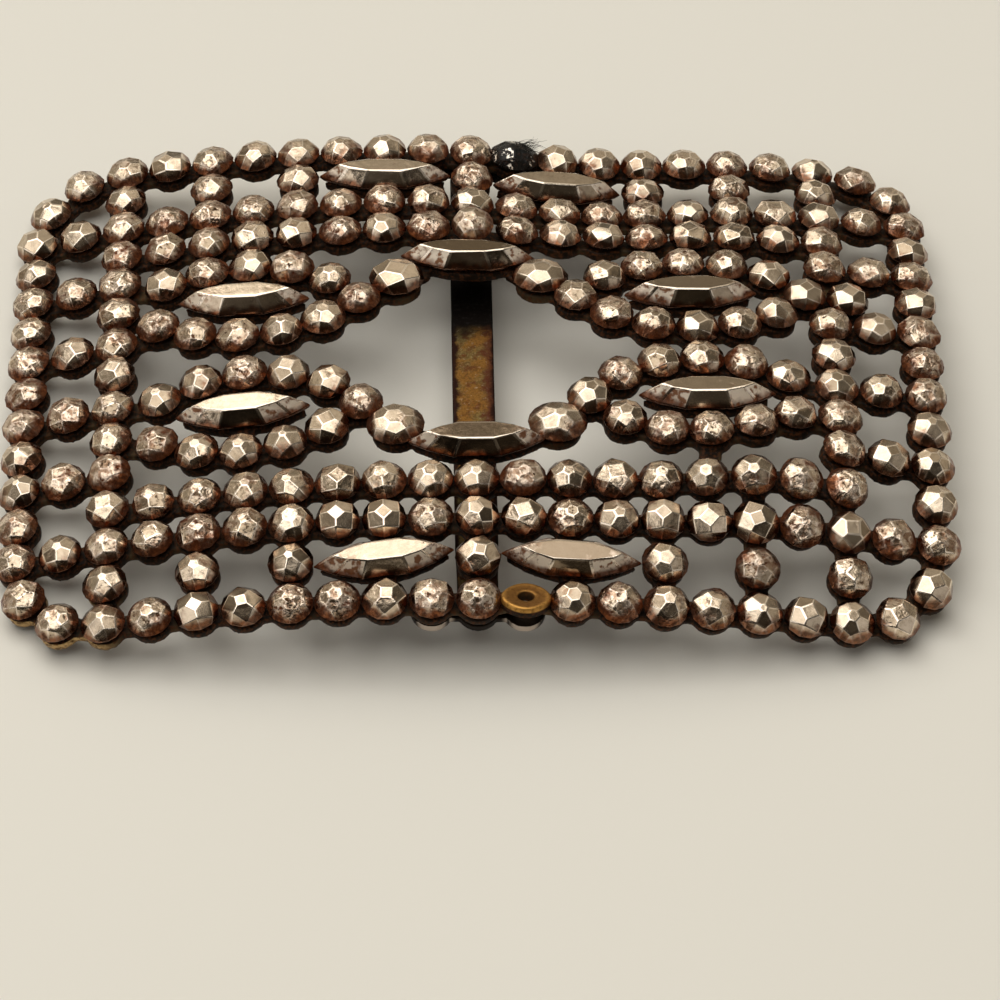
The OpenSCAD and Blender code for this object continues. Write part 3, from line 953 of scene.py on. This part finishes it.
def add_floor():
    mesh = bpy.data.meshes.new("floor")
    corners = [(x * FLOOR_HALF, y * FLOOR_HALF, 0) for x, y in ((-1, -1), (1, -1), (1, 1), (-1, 1))]
    mesh.from_pydata(corners, [], [(0, 1, 2, 3)])
    obj = bpy.data.objects.new("floor", mesh)
    bpy.context.scene.collection.objects.link(obj)
    mesh.materials.append(floor_material())


def add_camera():
    """The camera, which stands where the buckle was seen from and is rolled a little."""
    elevation = math.radians(CAMERA_ELEVATION)
    azimuth = math.radians(CAMERA_AZIMUTH)
    back = Vector((
        math.sin(azimuth) * math.cos(elevation),
        -math.cos(azimuth) * math.cos(elevation),
        math.sin(elevation)))
    level = Vector((math.cos(azimuth), math.sin(azimuth), 0))
    turn = Matrix.Rotation(math.radians(CAMERA_ROLL), 3, back)
    right = turn @ level
    up = turn @ back.cross(level)
    data = bpy.data.cameras.new("camera")
    data.lens = CAMERA_LENS
    data.sensor_width = CAMERA_SENSOR
    data.clip_start = 0.01
    data.clip_end = 20
    camera = bpy.data.objects.new("camera", data)
    bpy.context.scene.collection.objects.link(camera)
    camera.matrix_world = Matrix.Translation(CAMERA_TARGET + back * CAMERA_DISTANCE) @ Matrix(
        (right, up, back)).transposed().to_4x4()
    bpy.context.scene.camera = camera


def add_panel(name, elevation, azimuth, distance, size, radiance, colour):
    """A soft light panel that faces the buckle. Azimuth 0 is behind the buckle, seen from the camera."""
    elevation = math.radians(elevation)
    azimuth = math.radians(azimuth)
    away = Vector((
        math.sin(azimuth) * math.cos(elevation),
        math.cos(azimuth) * math.cos(elevation),
        math.sin(elevation)))
    light = bpy.data.lights.new(name, "AREA")
    light.shape = "RECTANGLE"
    light.size, light.size_y = size
    light.energy = radiance * math.pi * size[0] * size[1]
    light.color = colour
    obj = bpy.data.objects.new(name, light)
    bpy.context.scene.collection.objects.link(obj)
    obj.location = away * distance
    obj.rotation_euler = away.to_track_quat("Z", "Y").to_euler()


def add_world():
    """A dim room, darker on the camera's side and lighter behind the buckle, and a little uneven."""
    world = bpy.data.worlds.new("studio")
    bpy.context.scene.world = world
    world.use_nodes = True
    tree = world.node_tree
    place = tree.nodes.new("ShaderNodeTexCoord")
    split = tree.nodes.new("ShaderNodeSeparateXYZ")
    blend = tree.nodes.new("ShaderNodeMapRange")
    blend.interpolation_type = "SMOOTHSTEP"
    blend.inputs["From Min"].default_value = ROOM_BLEND[0]
    blend.inputs["From Max"].default_value = ROOM_BLEND[1]
    mix = tree.nodes.new("ShaderNodeMix")
    mix.data_type = "RGBA"
    tree.links.new(place.outputs["Generated"], split.inputs[0])
    tree.links.new(split.outputs["Y"], blend.inputs["Value"])
    tree.links.new(blend.outputs["Result"], mix.inputs[0])
    mix.inputs[6].default_value = ROOM_NEAR
    mix.inputs[7].default_value = ROOM_BEHIND
    tree.links.new(mix.outputs[2], tree.nodes["Background"].inputs["Color"])
    uneven = tree.nodes.new("ShaderNodeTexNoise")
    uneven.inputs["Scale"].default_value = ROOM_PATCHES
    uneven.inputs["Detail"].default_value = ROOM_DETAIL
    strength = tree.nodes.new("ShaderNodeMapRange")
    strength.interpolation_type = "SMOOTHSTEP"
    strength.inputs["From Min"].default_value = ROOM_PATCH_EDGES[0]
    strength.inputs["From Max"].default_value = ROOM_PATCH_EDGES[1]
    strength.inputs["To Min"].default_value = ROOM_STRENGTH[0]
    strength.inputs["To Max"].default_value = ROOM_STRENGTH[1]
    tree.links.new(place.outputs["Generated"], uneven.inputs["Vector"])
    tree.links.new(uneven.outputs["Fac"], strength.inputs["Value"])
    tree.links.new(strength.outputs["Result"], tree.nodes["Background"].inputs["Strength"])


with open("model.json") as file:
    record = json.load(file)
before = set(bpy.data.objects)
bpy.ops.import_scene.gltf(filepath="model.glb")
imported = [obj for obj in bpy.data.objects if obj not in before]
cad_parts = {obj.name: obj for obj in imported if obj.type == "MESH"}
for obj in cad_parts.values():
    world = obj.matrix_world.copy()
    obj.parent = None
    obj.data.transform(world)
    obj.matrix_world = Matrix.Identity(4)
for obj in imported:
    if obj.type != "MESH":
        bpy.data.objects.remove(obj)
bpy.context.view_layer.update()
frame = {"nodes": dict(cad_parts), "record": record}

steel_material = steel("cut_steel", 0.0)
long_material = steel("long_stone_steel", -0.06)
plate_material = plate_brass("plate_brass")
bar_material = bar_brass("bar_brass")
crust_material = black_crust("black_coating")

for order, item in enumerate(frame["record"]["subparts"]):
    node = item["node"]
    slot = item["material_slot"]
    if slot in ("cut_steel", "black_coating"):
        crusted = slot == "black_coating"
        piece = stud_field(node, FIRST_SEED + order, crusted)
        piece.data.materials.append(crust_material if crusted else steel_material)
    elif slot == "long_stone_steel":
        piece = long_stone(node, FIRST_SEED + order)
        piece.data.materials.append(long_material)
    elif slot == "plate_brass":
        piece = mesh_copy(node, "plate_skin")
        soften(piece, PLATE_VOXEL * MM, PLATE_SHARE)
        dress_plate(piece.data, stone_bases())
        piece.data.materials.append(plate_material)
    else:
        piece = mesh_copy(node, "centre_bar_skin")
        soften(piece, BAR_VOXEL * MM, BAR_SHARE)
        widen_stem(piece.data)
        piece.data.materials.append(bar_material)
    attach(piece, ROOT)
    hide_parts(node)

add_floor()
add_camera()
for panel in PANELS:
    add_panel(*panel)
add_world()
bpy.context.scene.view_settings.view_transform = "Standard"
